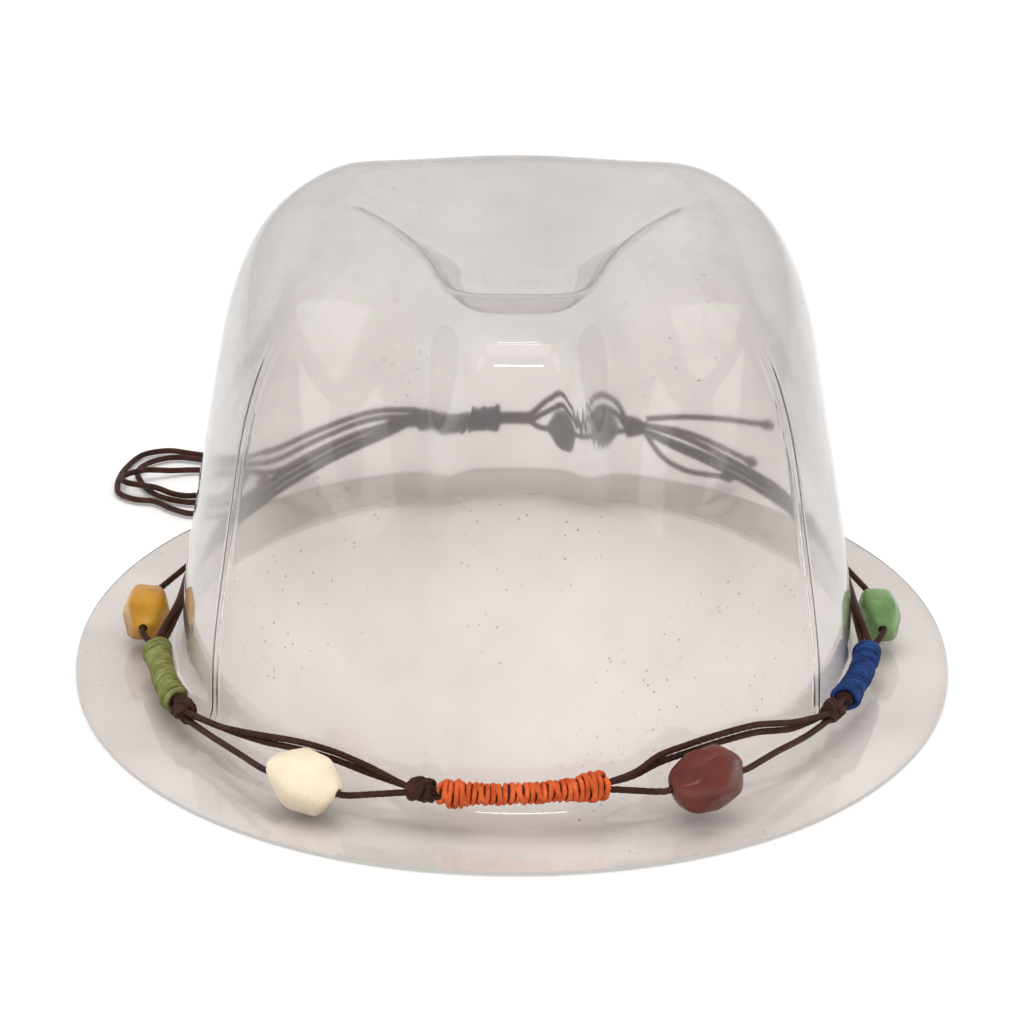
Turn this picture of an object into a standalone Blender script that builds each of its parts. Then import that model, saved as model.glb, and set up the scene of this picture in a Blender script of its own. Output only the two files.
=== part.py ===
"""A clear hat display form with an adjustable beaded cord hatband laid round the base of its crown.

The frame: millimetres in the named sizes, metres in the scene, +Z up, the front pinch of the crown
facing -Y, and the underside of the brim on Z = 0. Angles round the crown are measured from its
front, in degrees, positive towards +X.
"""

import math

import bmesh
import bpy
from mathutils import Matrix, Vector

MM = 0.001

# The moulded form.
SHEET = 1.0
BRIM_HALF_WIDTH, BRIM_HALF_DEPTH = 111.0, 124.0
BASE_HALF_WIDTH, BASE_HALF_DEPTH = 85.2, 98.7
OVAL_POWER = 2.07
CROWN_HEIGHT = 118.0
CROWN_SHIFT = 1.2
FILLET = 8.0
LOW_DRAFT, DRAFT = 0.02, 0.163
KNEE, KNEE_BLEND = 24.0, 12.0
SHOULDER_WIDE, SHOULDER_TALL = 10.0, 30.0
NOSE_EDGE_WIDE, NOSE_EDGE_TALL = 6.0, 7.0
NOSE_HALF_WIDTH = 14.3
NOSE_FRONT = -69.0
DENT_DEPTH, DENT_FRONT, DENT_HALF_WIDTH = 15.0, -49.0, 44.0
DENT_DEPTH_AT_BACK = 7.0
FACE_TOP_BACK, FACE_LENGTH = 27.0, 114.0
FACE_FADE_LOW, FACE_FADE_HIGH = 10.0, 85.0
FLANK = 11.0
COLUMNS, CROWN_ROWS, FILLET_ROWS, BRIM_ROWS = 72, 22, 3, 2
FRONT_CROWDING = 16.0

# The cords.
GAP = 0.3
CORD_RADIUS = 0.8
CORD_RESOLUTION = 2
STRAND_CIRCLE = 1.12
STRAND_TURNS = (-60.0, 60.0, 180.0)
STATION_STEP = 6.0
STRAND_STEP, TAIL_STEP = 6.5, 4.5
SLEEVE_BORE = 2.25
BEAD_BORE = 1.15
BEAD_EDGE = 1.4
LINE_BEHIND, LINE_HEIGHT = 102.2, 24.6


def clear_scene():
    for obj in list(bpy.data.objects):
        bpy.data.objects.remove(obj, do_unlink=True)


def new_collection(name):
    collection = bpy.data.collections.new(name)
    bpy.context.scene.collection.children.link(collection)
    return collection


def new_material(name, colour, roughness, metallic=0.0, transmission=0.0):
    material = bpy.data.materials.new(name)
    material.use_nodes = True
    shader = material.node_tree.nodes["Principled BSDF"]
    shader.inputs["Base Color"].default_value = (*colour, 1.0)
    shader.inputs["Roughness"].default_value = roughness
    shader.inputs["Metallic"].default_value = metallic
    shader.inputs["Transmission Weight"].default_value = transmission
    material.diffuse_color = (*colour, 1.0)
    return material


# ---------------------------------------------------------------- the shape of the crown


def smooth_step(value, low, high):
    t = min(max((value - low) / (high - low), 0.0), 1.0)
    return t * t * (3.0 - 2.0 * t)


def smooth_min(first, second, blend):
    h = max(blend - abs(first - second), 0.0) / blend
    return min(first, second) - h * h * blend / 4.0


def oval_point(angle, half_width, half_depth):
    """A point of the oval at this angle from its front, in degrees."""
    sine = math.sin(math.radians(angle))
    cosine = math.cos(math.radians(angle))
    x = math.copysign(abs(sine) ** (2.0 / OVAL_POWER), sine) * half_width
    y = -math.copysign(abs(cosine) ** (2.0 / OVAL_POWER), cosine) * half_depth
    return x, y


def oval_radius(x, y, half_width, half_depth):
    """How far the oval reaches in the direction of this point."""
    norm = (abs(x / half_width) ** OVAL_POWER + abs(y / half_depth) ** OVAL_POWER) ** (1.0 / OVAL_POWER)
    return math.hypot(x, y) / max(norm, 1e-9)


def ridge_half_width(y):
    """Half the distance between the two ridges that run back from the nose and flare to the sides."""
    return NOSE_HALF_WIDTH + 0.14 * (y - NOSE_FRONT) + 21.6 * math.exp((y - 24.5) / 19.0)


def dent_height(x, y):
    """The crown's top: level ridges with a teardrop dent between them, running out over the back."""
    half_width = min(max(ridge_half_width(y) - 1.0, 1.0), DENT_HALF_WIDTH)
    across = max(1.0 - (x / half_width) ** 4, 0.0) ** 1.3
    depth = DENT_DEPTH + (DENT_DEPTH_AT_BACK - DENT_DEPTH) * smooth_step(y, 15.0, 75.0)
    return CROWN_HEIGHT - depth * smooth_step(y, DENT_FRONT, DENT_FRONT + 26.0) * across


def face_height(x, y):
    """The sloping faces on both sides of the nose, which rise against its flanks."""
    along = min(max((FACE_TOP_BACK - y) / FACE_LENGTH, 0.0), 1.0)
    floor = CROWN_HEIGHT * (1.0 - along**3.2) ** (1.0 / 1.6)
    flank = math.exp(-(abs(x) - ridge_half_width(y)) / FLANK)
    return floor + (CROWN_HEIGHT - floor) * min(flank, 6.0)


def wall_inset(height):
    """How far the crown's wall has moved in at this height: upright at the foot, then drafted."""
    past_knee = min(max(height - KNEE + KNEE_BLEND, 0.0), 2.0 * KNEE_BLEND)
    ramp = past_knee**2 / (4.0 * KNEE_BLEND) + max(height - KNEE - KNEE_BLEND, 0.0)
    return LOW_DRAFT * height + (DRAFT - LOW_DRAFT) * ramp


def crown_height(x, y):
    """The outer surface of the crown over this point, from its wall inwards."""
    top = smooth_min(dent_height(x, y), face_height(x, y), 6.0)
    at_nose = (1.0 - smooth_step(y, -80.0, -45.0)) * (1.0 - smooth_step(abs(x), 14.0, 30.0))
    wide = SHOULDER_WIDE + (NOSE_EDGE_WIDE - SHOULDER_WIDE) * at_nose
    tall = SHOULDER_TALL + (NOSE_EDGE_TALL - SHOULDER_TALL) * at_nose
    inset = oval_radius(x, y, BASE_HALF_WIDTH, BASE_HALF_DEPTH) - math.hypot(x, y)
    if inset >= wall_inset(top) + wide:
        return top
    low, high = 0.0, top
    for _ in range(24):
        height = (low + high) / 2.0
        rise = max((height - top + tall) / tall, 0.0)
        if wall_inset(height) + wide * (1.0 - math.sqrt(1.0 - rise**2)) < inset:
            low = height
        else:
            high = height
    return low


def crown_profile(angle):
    """Points from the edge of the brim in to the middle of the crown, along one direction."""
    edge_x, edge_y = oval_point(angle, BRIM_HALF_WIDTH, BRIM_HALF_DEPTH)
    edge = math.hypot(edge_x - CROWN_SHIFT, edge_y)
    way_x, way_y = (edge_x - CROWN_SHIFT) / edge, edge_y / edge
    wall = oval_radius(way_x, way_y, BASE_HALF_WIDTH, BASE_HALF_DEPTH)
    fillet_middle = wall - wall_inset(SHEET + FILLET) + FILLET
    points = [(edge + (fillet_middle - edge) * row / BRIM_ROWS, SHEET) for row in range(BRIM_ROWS)]
    for row in range(FILLET_ROWS + 1):
        turn = math.pi / 2.0 * row / FILLET_ROWS
        points.append((fillet_middle - FILLET * math.sin(turn), SHEET + FILLET * (1.0 - math.cos(turn))))
    start = points[-1][0]
    fine = 500
    crown, heights, lengths = [start], [points[-1][1]], [0.0]
    for step in range(1, fine + 1):
        radius = max(start * (1.0 - (step / fine) ** 2), 0.1)
        height = max(crown_height(way_x * radius, way_y * radius), heights[0])
        cut = max(wall - wall_inset(height) - radius, 0.0)
        radius += cut * (1.0 - smooth_step(height, FACE_FADE_LOW, FACE_FADE_HIGH))
        lengths.append(lengths[-1] + math.hypot(radius - crown[-1], height - heights[-1]))
        crown.append(radius)
        heights.append(height)
    step = 0
    for row in range(1, CROWN_ROWS + 1):
        wanted = lengths[-1] * row / CROWN_ROWS
        while step < fine - 1 and lengths[step + 1] < wanted:
            step += 1
        share = (wanted - lengths[step]) / (lengths[step + 1] - lengths[step])
        radius = crown[step] + (crown[step + 1] - crown[step]) * share
        points.append((radius, heights[step] + (heights[step + 1] - heights[step]) * share))
    return [Vector((CROWN_SHIFT + way_x * radius, way_y * radius, height)) * MM for radius, height in points]


def make_hat_form(collection):
    """One moulded sheet: a loft of the profiles round the crown, given its thickness inwards."""
    shape = bmesh.new()
    turns = [360.0 * column / COLUMNS for column in range(COLUMNS)]
    profiles = [crown_profile(turn - FRONT_CROWDING * math.sin(math.radians(turn))) for turn in turns]
    middle = shape.verts.new(profiles[0][-1])
    rings = [[shape.verts.new(point) for point in profile[:-1]] for profile in profiles]
    for column in range(COLUMNS):
        here, there = rings[column], rings[(column + 1) % COLUMNS]
        for row in range(len(here) - 1):
            shape.faces.new((here[row], there[row], there[row + 1], here[row + 1]))
        shape.faces.new((here[-1], there[-1], middle))
    bmesh.ops.recalc_face_normals(shape, faces=shape.faces)
    mesh = bpy.data.meshes.new("hat_form")
    shape.to_mesh(mesh)
    shape.free()
    mesh.shade_smooth()
    form = bpy.data.objects.new("hat_form", mesh)
    form.data.materials.append(new_material("clear_plastic", (0.86, 0.84, 0.83), 0.12, transmission=0.9))
    collection.objects.link(form)
    sheet = form.modifiers.new("sheet thickness", "SOLIDIFY")
    sheet.thickness = SHEET * MM
    sheet.offset = -1.0
    return form


# ---------------------------------------------------------------- places round the crown


def beside_wall(angle, height, gap):
    """The point this far out from the wall, and the way out of the wall there."""
    fillet = max(SHEET + FILLET - height, 0.0)
    reach = gap - wall_inset(height) + FILLET - math.sqrt(FILLET**2 - fillet**2)
    x, y = oval_point(angle, BASE_HALF_WIDTH, BASE_HALF_DEPTH)
    out = Vector((x / BASE_HALF_WIDTH**2, y / BASE_HALF_DEPTH**2, 0.0)).normalized()
    return Vector((x + CROWN_SHIFT, y, height)) + out * reach, out


def behind(x, height=LINE_HEIGHT, y=LINE_BEHIND, turn=0.0):
    """A point behind the crown, and the way out there, turned by some degrees towards +X."""
    return Vector((x, y, height)), Vector((math.sin(math.radians(turn)), math.cos(math.radians(turn)), 0.0))


def smooth_route(points, step, closed=False):
    """Points about a step apart, along a smooth curve through the given ones."""
    count = len(points)
    route = []
    for index in range(count if closed else count - 1):
        if closed:
            before, here, there, after = (points[(index + shift) % count] for shift in (-1, 0, 1, 2))
        else:
            here, there = points[index], points[index + 1]
            before = points[index - 1] if index else 2.0 * here - there
            after = points[index + 2] if index + 2 < count else 2.0 * there - here
        length = (there - here).length
        leave = (there - before) * length / max((there - before).length, 1e-6)
        arrive = (after - here) * length / max((after - here).length, 1e-6)
        pieces = max(round(length / step), 1)
        for piece in range(pieces):
            t = piece / pieces
            route.append(
                here * (2 * t**3 - 3 * t**2 + 1)
                + leave * (t**3 - 2 * t**2 + t)
                + there * (3 * t**2 - 2 * t**3)
                + arrive * (t**3 - t**2)
            )
    return route if closed else route + [points[-1]]


def make_tube(name, route, radius, material, collection, closed=False, widths=None, resolution=CORD_RESOLUTION):
    """A round tube along a route in millimetres. The widths scale its radius point by point."""
    curve = bpy.data.curves.new(name, "CURVE")
    curve.dimensions = "3D"
    curve.bevel_depth = radius * MM
    curve.bevel_resolution = resolution
    curve.use_fill_caps = True
    spline = curve.splines.new("POLY")
    spline.points.add(len(route) - 1)
    for index, (point, place) in enumerate(zip(spline.points, route)):
        point.co = (*(place * MM), 1.0)
        point.radius = widths[index] if widths else 1.0
    spline.use_cyclic_u = closed
    spline.use_smooth = True
    curve.materials.append(material)
    tube = bpy.data.objects.new(name, curve)
    collection.objects.link(tube)
    return tube


def as_mesh(obj):
    """The curve object made a mesh of the same name, with its caps welded on."""
    bpy.context.view_layer.update()
    evaluated = obj.evaluated_get(bpy.context.evaluated_depsgraph_get())
    mesh = bpy.data.meshes.new_from_object(evaluated)
    shape = bmesh.new()
    shape.from_mesh(mesh)
    bmesh.ops.remove_doubles(shape, verts=shape.verts, dist=0.01 * MM)
    bmesh.ops.recalc_face_normals(shape, faces=shape.faces)
    shape.to_mesh(mesh)
    shape.free()
    name, collection, place = obj.name, obj.users_collection[0], obj.matrix_world.copy()
    bpy.data.objects.remove(obj, do_unlink=True)
    solid = bpy.data.objects.new(name, mesh)
    solid.matrix_world = place
    collection.objects.link(solid)
    return solid


def cut(solid, cutter, collection):
    """Takes the cutter's shape out of the solid, and puts the cutter away."""
    for other in list(cutter.users_collection):
        other.objects.unlink(cutter)
    collection.objects.link(cutter)
    cutter.hide_render = True
    cutter.display_type = "WIRE"
    hole = solid.modifiers.new("bore", "BOOLEAN")
    hole.operation = "DIFFERENCE"
    hole.solver = "EXACT"
    hole.object = cutter


# ---------------------------------------------------------------- sleeves: thread wraps and knots

WRAP = (1.08, 1.12, 1.02, 0.98, 1.0, 0.97, 1.0, 0.98, 1.02, 1.12, 1.06)
ORANGE_WRAP = (1.25, 1.32, 1.02, 0.97, 1.0, 0.96, 1.0, 0.97, 1.05, 1.4, 1.3)
KNOT = (0.86, 1.12, 0.96, 1.1, 0.84)
SLEEVE_OVERRUN = 0.5

# name: first angle, last angle, first height, last height, gap to the wall, radius, widths
SLEEVES = {
    "wrap_olive": (-83.2, -66.2, 8.0, 7.2, 6.4, 3.3, WRAP),
    "knot_left": (-64.6, -61.8, 7.2, 7.2, 6.4, 3.0, KNOT),
    "knot_front": (-15.9, -12.3, 10.4, 10.3, 4.0, 3.2, KNOT),
    "wrap_orange": (-10.9, 13.0, 10.2, 12.2, 4.2, 2.75, ORANGE_WRAP),
    "knot_right": (58.4, 61.4, 9.4, 9.4, 3.9, 3.0, KNOT),
    "wrap_blue": (64.2, 83.2, 9.4, 8.6, 4.2, 3.3, WRAP),
    "knot_back_right": (160.6, 163.4, 23.4, 23.4, 7.0, 3.1, KNOT),
}
# name: first x, last x, radius, widths
BACK_SLEEVES = {
    "closure_wrap": (-3.6, -16.6, 3.4, WRAP),
    "knot_back_left": (-17.1, -21.7, 3.1, KNOT),
}
STRAIGHT_STRETCH = (4.4, 3.0, -10.0, -21.8, -23.0)


def sleeve_place(name, angle):
    """The place on the sleeve's middle line at this angle, with the way out of the wall."""
    first, last, low, high, gap = SLEEVES[name][:5]
    return beside_wall(angle, low + (high - low) * (angle - first) / (last - first), gap)


def sleeve_places(name, count):
    first, last = SLEEVES[name][:2]
    return [sleeve_place(name, first + (last - first) * index / (count - 1)) for index in range(count)]


def back_places(first, last, count):
    return [behind(first + (last - first) * index / (count - 1)) for index in range(count)]


def strand_points(places, strand):
    """Where this strand of three runs, beside the middle line through these places."""
    turn = math.radians(STRAND_TURNS[strand])
    up = Vector((0.0, 0.0, 1.0))
    return [place + (out * math.cos(turn) + up * math.sin(turn)) * STRAND_CIRCLE for place, out in places]


def in_sleeve(name, strand, count):
    """Points that take a strand through the sleeve, straight at both of its ends."""
    first, last = SLEEVES[name][:2]
    angles = [first - SLEEVE_OVERRUN, first + SLEEVE_OVERRUN, last - SLEEVE_OVERRUN, last + SLEEVE_OVERRUN]
    angles[2:2] = [first + (last - first) * index / (count + 1) for index in range(1, count + 1)]
    return strand_points([sleeve_place(name, angle) for angle in angles], strand)


def in_back_sleeves(strand):
    """Points that take a strand straight through the closure and the knot beside it."""
    return strand_points([behind(x) for x in STRAIGHT_STRETCH], strand)


def longer(route, extra):
    """The route with straight ends added."""
    first = route[0] + (route[0] - route[1]).normalized() * extra
    last = route[-1] + (route[-1] - route[-2]).normalized() * extra
    return [first, *route, last]


def make_sleeve(name, places, radius, widths, material, collection, cutters):
    """A lumpy tube round the strands, with a bore that they run through."""
    route = [place for place, _ in places]
    sleeve = as_mesh(make_tube(name, route, radius, material, collection, widths=widths, resolution=3))
    bore = as_mesh(make_tube(name + "_bore", longer(route, 2.0), SLEEVE_BORE, material, collection, resolution=3))
    cut(sleeve, bore, cutters)
    sleeve.data.shade_smooth()
    middle = (route[0] + route[-1]) / 2.0 * MM
    sleeve.data.transform(Matrix.Translation(-middle))
    sleeve.location = middle
    return sleeve


# ---------------------------------------------------------------- beads

# Corners as shares of the half sizes: along the bore, out from the wall, and up.
NUGGET_LONG = (
    (-1.0, -0.35, 0.1), (-0.92, 0.45, 0.0), (-0.45, -0.62, 0.78), (-0.5, 0.55, 0.84), (0.4, -0.55, 0.86),
    (0.55, 0.6, 0.72), (1.0, 0.3, -0.1), (0.95, -0.4, 0.1), (0.35, -0.65, -0.76), (0.3, 0.66, -0.8),
    (-0.4, -0.6, -0.82), (-0.55, 0.66, -0.72), (-0.1, 0.98, 0.05), (0.15, -0.98, 0.0),
)
NUGGET_TOP = (
    (-0.95, -0.3, 0.6), (-0.9, 0.45, 0.5), (-0.2, -0.6, 0.92), (-0.15, 0.5, 0.9), (0.5, -0.5, 0.85),
    (0.55, 0.5, 0.75), (1.0, 0.1, 0.2), (0.95, -0.45, 0.0), (0.85, 0.6, -0.25), (0.45, -0.5, -0.85),
    (0.5, 0.35, -0.9), (-0.35, 0.45, -0.88), (-0.4, -0.45, -0.85), (-0.85, 0.35, -0.25), (-0.8, -0.5, -0.3),
    (0.05, 0.98, 0.1), (0.0, -0.95, 0.1),
)
NUGGET_POINT = (
    (-1.0, 0.1, 0.0), (-0.85, -0.45, 0.35), (-0.85, 0.5, 0.2), (-0.3, -0.5, 0.8), (0.2, 0.45, 0.93),
    (0.45, -0.4, 0.93), (0.85, 0.3, 0.65), (0.95, -0.4, 0.3), (1.0, 0.1, -0.3), (0.75, 0.6, -0.4),
    (0.3, 0.3, -0.95), (0.1, -0.45, -0.88), (-0.5, 0.5, -0.78), (-0.6, -0.4, -0.74), (0.1, 0.97, 0.05),
    (0.0, -0.95, 0.0),
)

# name: middle and way out, half length, half depth, half height, corners
BEADS = {
    "bead_yellow": (beside_wall(-92.6, 9.2, 9.8), 10.2, 6.8, 7.9, NUGGET_LONG),
    "bead_cream": (beside_wall(-31.0, 9.4, 10.6), 11.0, 7.7, 8.1, NUGGET_TOP),
    "bead_red_brown": (beside_wall(27.3, 11.6, 9.6), 10.6, 8.0, 8.5, NUGGET_POINT),
    "bead_green": (beside_wall(93.4, 9.1, 7.8), 10.0, 6.2, 7.4, NUGGET_LONG),
    "bead_grey": (behind(17.2, 21.4, 102.7, 6.0), 8.6, 5.6, 6.8, NUGGET_LONG),
}


def bead_axes(name):
    """The bead's middle, the way along its bore, the way out and the way up."""
    middle, out = BEADS[name][0]
    up = Vector((0.0, 0.0, 1.0))
    return middle, up.cross(out), out, up


def through_bead(name):
    """Points that take a cord straight through the bead's bore."""
    middle, along, _, _ = bead_axes(name)
    half = BEADS[name][1]
    return [middle + along * place for place in (-half - 1.0, 2.0 - half, half - 2.0, half + 1.0)]


def make_bead(name, material, collection, cutters):
    """A chunky nugget: the hull of its corners, with soft edges and a hole drilled along it."""
    half_length, half_depth, half_height, corners = BEADS[name][1:]
    shape = bmesh.new()
    for along, out, up in corners:
        shape.verts.new(Vector((along * half_length, out * half_depth, up * half_height)) * MM)
    bmesh.ops.convex_hull(shape, input=shape.verts)
    bmesh.ops.dissolve_limit(shape, angle_limit=math.radians(4.0), verts=shape.verts, edges=shape.edges)
    bmesh.ops.recalc_face_normals(shape, faces=shape.faces)
    mesh = bpy.data.meshes.new(name)
    shape.to_mesh(mesh)
    shape.free()
    mesh.materials.append(material)
    middle, along, out, up = bead_axes(name)
    bead = bpy.data.objects.new(name, mesh)
    bead.matrix_world = Matrix.Translation(middle * MM) @ Matrix((along, out, up)).transposed().to_4x4()
    collection.objects.link(bead)
    edges = bead.modifiers.new("soft edges", "BEVEL")
    edges.width = BEAD_EDGE * MM
    edges.segments = 2
    drill = bmesh.new()
    bmesh.ops.create_cone(
        drill,
        cap_ends=True,
        segments=12,
        radius1=BEAD_BORE * MM,
        radius2=BEAD_BORE * MM,
        depth=3.0 * half_length * MM,
        matrix=Matrix.Rotation(math.pi / 2.0, 4, "Y"),
    )
    drill_mesh = bpy.data.meshes.new(name + "_bore")
    drill.to_mesh(drill_mesh)
    drill.free()
    cutter = bpy.data.objects.new(name + "_bore", drill_mesh)
    cutter.matrix_world = bead.matrix_world
    collection.objects.link(cutter)
    cut(bead, cutter, cutters)
    mesh.shade_smooth()
    mesh.set_sharp_from_angle(angle=math.radians(40.0))
    return bead


# ---------------------------------------------------------------- the cords


def wall_points(*stations):
    """Points along the wall, smoothly through stations given as angle, height and gap to the wall."""
    route = smooth_route([Vector(station) for station in stations], STATION_STEP)
    return [beside_wall(*station)[0] for station in route]


def main_strand():
    """The strand through every bead: from the closure round the left side, the front and the right side."""
    return [
        *in_back_sleeves(0),
        *wall_points((-152.0, 22.4, 1.3), (-139.0, 19.0, 1.3), (-122.0, 16.0, 1.3), (-110.0, 12.4, 3.0)),
        *through_bead("bead_yellow"),
        *in_sleeve("wrap_olive", 0, 2),
        *in_sleeve("knot_left", 0, 0),
        *wall_points((-53.0, 7.2, 6.6), (-44.5, 8.4, 8.4)),
        *through_bead("bead_cream"),
        *in_sleeve("knot_front", 0, 0),
        *in_sleeve("wrap_orange", 0, 5),
        *through_bead("bead_red_brown"),
        *wall_points((43.0, 10.4, 6.2), (51.0, 9.0, 4.8)),
        *in_sleeve("knot_right", 0, 0),
        *in_sleeve("wrap_blue", 0, 2),
        *through_bead("bead_green"),
        *wall_points((109.0, 13.0, 3.2), (121.0, 18.2, 1.3), (139.0, 19.8, 1.3), (151.0, 20.8, 3.6)),
        *in_sleeve("knot_back_right", 0, 0),
        *through_bead("bead_grey"),
    ]


def upper_strand():
    """The strand that passes highest over the beads."""
    return [
        *in_back_sleeves(1),
        *wall_points(
            (-152.0, 26.4, 1.3),
            (-139.0, 23.4, 1.3),
            (-122.0, 20.8, 1.3),
            (-108.0, 17.4, 1.2),
            (-98.0, 14.8, 1.1),
            (-90.5, 14.2, 1.6),
        ),
        *in_sleeve("wrap_olive", 1, 2),
        *in_sleeve("knot_left", 1, 0),
        *wall_points((-53.0, 9.4, 4.4), (-44.0, 11.8, 1.6), (-36.0, 14.0, 1.1), (-29.0, 14.2, 1.1), (-23.5, 13.2, 1.8)),
        *in_sleeve("knot_front", 1, 0),
        *in_sleeve("wrap_orange", 1, 5),
        *wall_points(
            (18.0, 14.0, 3.0),
            (22.5, 16.4, 1.4),
            (28.0, 17.4, 1.1),
            (34.5, 17.6, 1.1),
            (42.0, 16.4, 1.3),
            (50.0, 12.8, 2.4),
        ),
        *in_sleeve("knot_right", 1, 0),
        *in_sleeve("wrap_blue", 1, 2),
        *wall_points(
            (90.0, 14.0, 1.6),
            (98.0, 15.0, 1.1),
            (106.0, 17.8, 1.1),
            (121.0, 22.4, 1.3),
            (139.0, 24.0, 1.3),
            (151.0, 25.4, 3.2),
        ),
        *in_sleeve("knot_back_right", 1, 0),
        *[behind(*place)[0] for place in ((24.0, 30.4, 99.8), (17.0, 33.6, 99.2), (10.0, 30.8, 100.6))],
    ]


def inner_strand():
    """The strand that passes between the beads and the wall."""
    return [
        *in_back_sleeves(2),
        *wall_points(
            (-152.0, 24.3, 1.3),
            (-139.0, 21.2, 1.3),
            (-122.0, 18.5, 1.3),
            (-108.0, 15.2, 1.2),
            (-98.0, 12.8, 1.1),
            (-90.5, 12.3, 1.2),
        ),
        *in_sleeve("wrap_olive", 2, 2),
        *in_sleeve("knot_left", 2, 0),
        *wall_points((-53.0, 8.2, 2.6), (-44.0, 10.0, 1.3), (-36.0, 12.0, 1.1), (-29.0, 12.2, 1.1), (-23.5, 11.2, 1.3)),
        *in_sleeve("knot_front", 2, 0),
        *in_sleeve("wrap_orange", 2, 5),
        *wall_points(
            (18.0, 12.4, 1.6),
            (22.5, 14.4, 1.1),
            (28.0, 15.4, 1.1),
            (34.5, 15.6, 1.1),
            (42.0, 14.4, 1.2),
            (50.0, 10.8, 1.5),
        ),
        *in_sleeve("knot_right", 2, 0),
        *in_sleeve("wrap_blue", 2, 2),
        *wall_points(
            (90.0, 12.0, 1.2),
            (98.0, 13.0, 1.1),
            (106.0, 15.7, 1.1),
            (121.0, 20.3, 1.3),
            (139.0, 21.9, 1.3),
            (151.0, 23.2, 2.2),
        ),
        *in_sleeve("knot_back_right", 2, 0),
        *[behind(*place)[0] for place in ((24.0, 28.2, 97.2), (17.0, 30.6, 98.4), (10.0, 28.2, 99.2))],
    ]


# The free tails: from the knot beside the closure down to the table, where they lie in loops, and
# from the knot on the other side, short and stiff.
TAILS = {
    "tail_left_outer": (
        (-22.4, 104.6, 26.2), (-38.0, 108.2, 24.0), (-54.0, 113.0, 16.5), (-68.0, 121.0, 7.6),
        (-78.0, 128.0, 2.4), (-87.0, 132.0, 1.0), (-95.7, 134.8, 1.0), (-101.8, 132.6, 1.0),
        (-106.0, 124.4, 1.0), (-108.2, 114.0, 1.0), (-107.4, 104.0, 1.0), (-103.0, 100.0, 1.0),
        (-97.4, 98.6, 1.0), (-92.7, 93.8, 1.0), (-87.2, 90.2, 1.0), (-81.0, 91.4, 1.0),
        (-75.0, 95.8, 1.0), (-70.5, 100.4, 1.0),
    ),
    "tail_left_inner": (
        (-22.4, 105.0, 24.1), (-38.0, 108.4, 21.7), (-54.0, 112.6, 14.0), (-68.0, 118.6, 5.4),
        (-78.0, 125.0, 1.3), (-87.0, 128.6, 1.0), (-93.4, 130.0, 1.0), (-99.0, 127.6, 1.0),
        (-102.4, 123.2, 1.0), (-103.4, 118.4, 1.0), (-102.0, 112.2, 1.0), (-98.8, 105.0, 1.0),
        (-93.6, 100.2, 1.0), (-87.0, 98.0, 1.0), (-81.0, 99.4, 1.0), (-76.2, 103.8, 1.0),
        (-73.2, 109.6, 1.0),
    ),
    "tail_left_middle": (
        (-22.4, 104.3, 22.1), (-38.0, 107.0, 19.4), (-54.0, 110.6, 11.6), (-68.0, 115.4, 3.2),
        (-78.0, 119.4, 1.25), (-87.5, 121.0, 1.0), (-94.4, 119.0, 1.6), (-101.4, 116.0, 2.95),
        (-106.4, 112.0, 3.05), (-106.4, 107.8, 3.05), (-102.4, 105.4, 3.05), (-97.6, 104.4, 2.7),
        (-92.6, 103.2, 1.3), (-87.6, 102.6, 1.0), (-82.8, 105.4, 1.0), (-80.2, 110.6, 1.0),
    ),
    "tail_right_upper": (
        (34.9, 100.2, 25.6), (47.0, 104.6, 24.4), (59.0, 109.4, 21.6), (70.0, 113.6, 18.6),
    ),
    "tail_right_middle": (
        (35.2, 100.8, 23.3), (46.0, 106.4, 19.4), (57.0, 112.8, 12.6), (66.0, 118.4, 6.4),
    ),
    "tail_right_lower": (
        (34.6, 100.2, 21.1), (40.0, 103.6, 13.0), (48.0, 107.6, 7.0), (58.0, 111.4, 4.0),
    ),
}
END_KNOT_LENGTH, END_KNOT_RADIUS = 4.6, 1.75


def make_strand(name, points, material, collection):
    return make_tube(name, smooth_route(points, STRAND_STEP, closed=True), CORD_RADIUS, material, collection, closed=True)


def make_tail(name, material, collection):
    """A free cord, and the knot that stops its end."""
    route = smooth_route([Vector(point) for point in TAILS[name]], TAIL_STEP)
    make_tube(name, route, CORD_RADIUS, material, collection)
    way = (route[-1] - route[-2]).normalized()
    start = route[-1] + way * GAP
    lift = Vector((0.0, 0.0, max(END_KNOT_RADIUS * max(KNOT) + 0.05 - start.z, 0.0)))
    knot = [start + lift + way * END_KNOT_LENGTH * index / 4.0 for index in range(5)]
    make_tube(name + "_knot", knot, END_KNOT_RADIUS, material, collection, widths=KNOT, resolution=2)


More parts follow.
